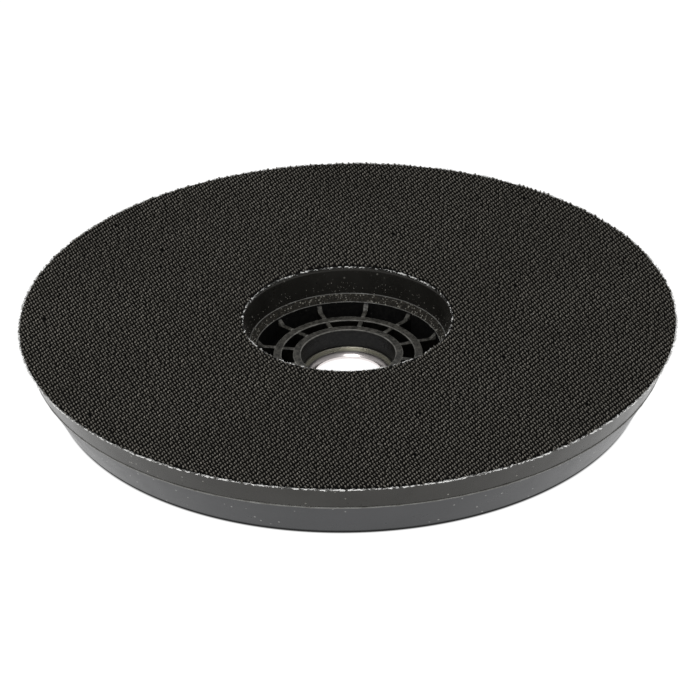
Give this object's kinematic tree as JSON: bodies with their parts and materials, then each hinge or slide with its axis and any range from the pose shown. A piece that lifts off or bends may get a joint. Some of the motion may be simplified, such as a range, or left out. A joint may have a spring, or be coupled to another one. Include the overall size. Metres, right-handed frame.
{
  "type": "hook and loop sanding drive disc",
  "caption": "Flat round sanding drive disc for a floor orbital sander: woven hook face on a tapered elastomer pad and ribbed plastic plate, with a steel-lined spindle hole.",
  "frame": {"origin": "on the disc's axis in the plane of the back rim that it rests on", "axes": "+Z along the disc's axis, out of the hook face; +X and +Y in the plane of the back, with the first hub rib 18 degrees from +X"},
  "size_m": [0.3999, 0.4, 0.044],
  "materials": {
    "hook_fabric": "woven polyamide hook, dull black",
    "adhesive_film": "thin hot-melt film",
    "pad_elastomer": "dark grey skinned elastomer foam, satin",
    "bond_flash": "brown-grey adhesive, rough",
    "plate_plastic": "moulded black-grey plastic, satin",
    "flange_steel": "zinc plated sheet",
    "screw_steel": "zinc plated",
    "insert_brass": "turned",
    "ring_steel": "turned bright steel"
  },
  "bodies": {
    "root": {"hook_facing": "hook_fabric", "facing_bond": "adhesive_film", "cushion_pad": "pad_elastomer", "pad_bond": "bond_flash", "backing_plate": "plate_plastic", "drive_flange": "flange_steel", "flange_screws": "screw_steel", "thread_inserts": "insert_brass", "centring_ring": "ring_steel"}
  },
  "joints": []
}
